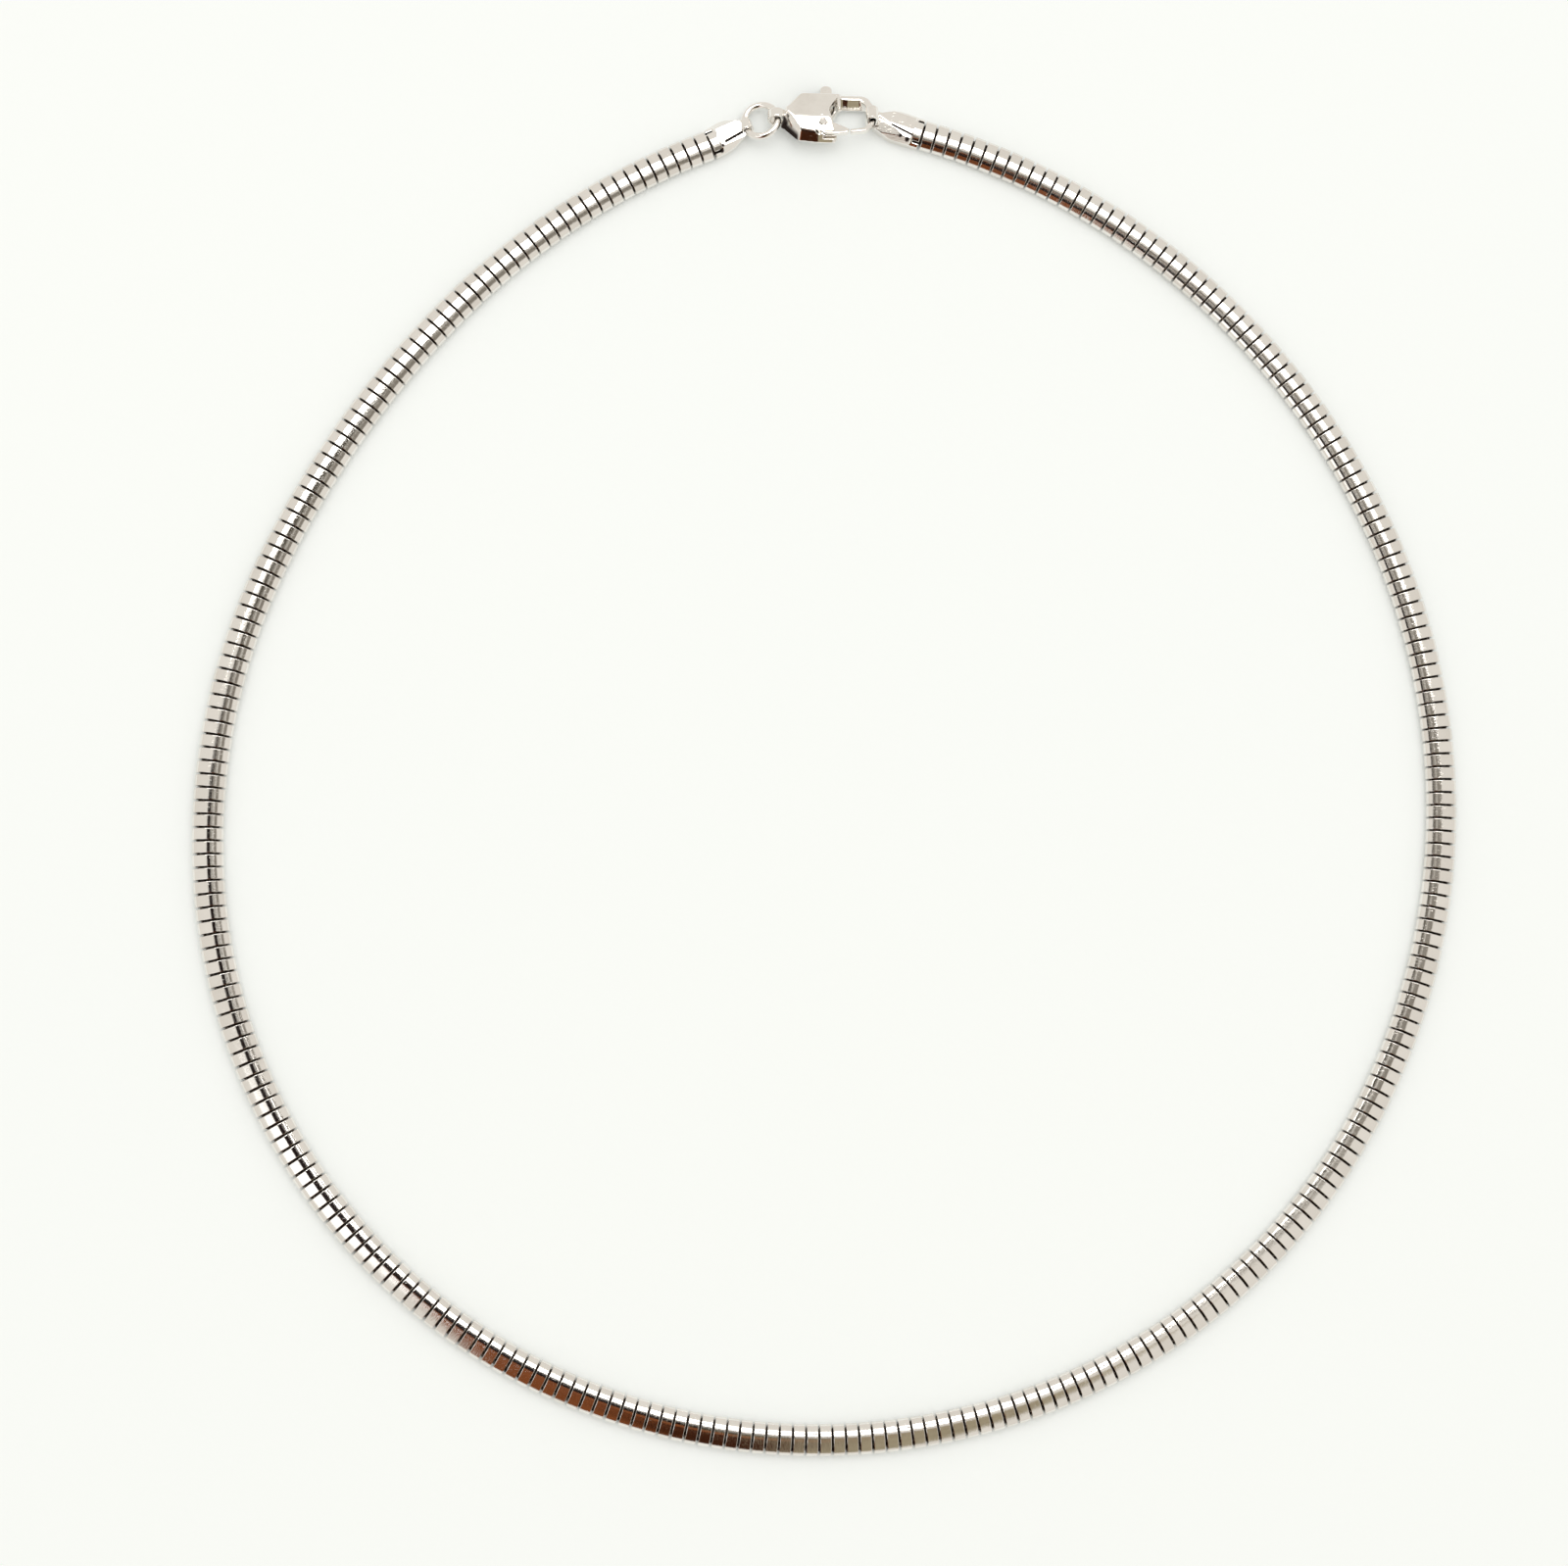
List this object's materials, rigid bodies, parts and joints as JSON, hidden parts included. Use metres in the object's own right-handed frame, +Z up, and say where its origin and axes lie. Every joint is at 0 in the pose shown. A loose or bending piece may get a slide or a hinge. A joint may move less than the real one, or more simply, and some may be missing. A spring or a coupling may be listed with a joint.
{
  "type": "omega necklace",
  "caption": "Omega necklace lying closed: a loop of curved metal plates on a woven mesh core, with end caps, a jump ring and a lobster clasp.",
  "frame": {"origin": "middle of the necklace's bounding box, on the surface that it lies on", "axes": "+Z up out of the surface, +Y towards the clasp along the longer way across the loop, +X to the right seen from above"},
  "size_m": [0.1298, 0.1412, 0.0032],
  "materials": {
    "plates": "polished",
    "mesh": "woven, satin",
    "caps": "polished",
    "ring": "polished",
    "clasp": "polished",
    "lever": "polished",
    "pin": "ground flat"
  },
  "bodies": {
    "necklace": {"band_plates": "plates", "band_mesh": "mesh", "left_cap": "caps", "right_cap": "caps", "jump_ring": "ring", "clasp_body": "clasp", "clasp_pin": "pin"},
    "lever": {"clasp_lever": "lever"}
  },
  "joints": [
    {"name": "lever_hinge", "type": "hinge", "parent": "necklace", "child": "lever", "pos_m": [-0.0013, 0.06594, 0.00199], "axis": [0, 0.342, 0.9397], "range_deg": [0, 32], "stiffness_Nm_per_rad": 0.002}
  ]
}
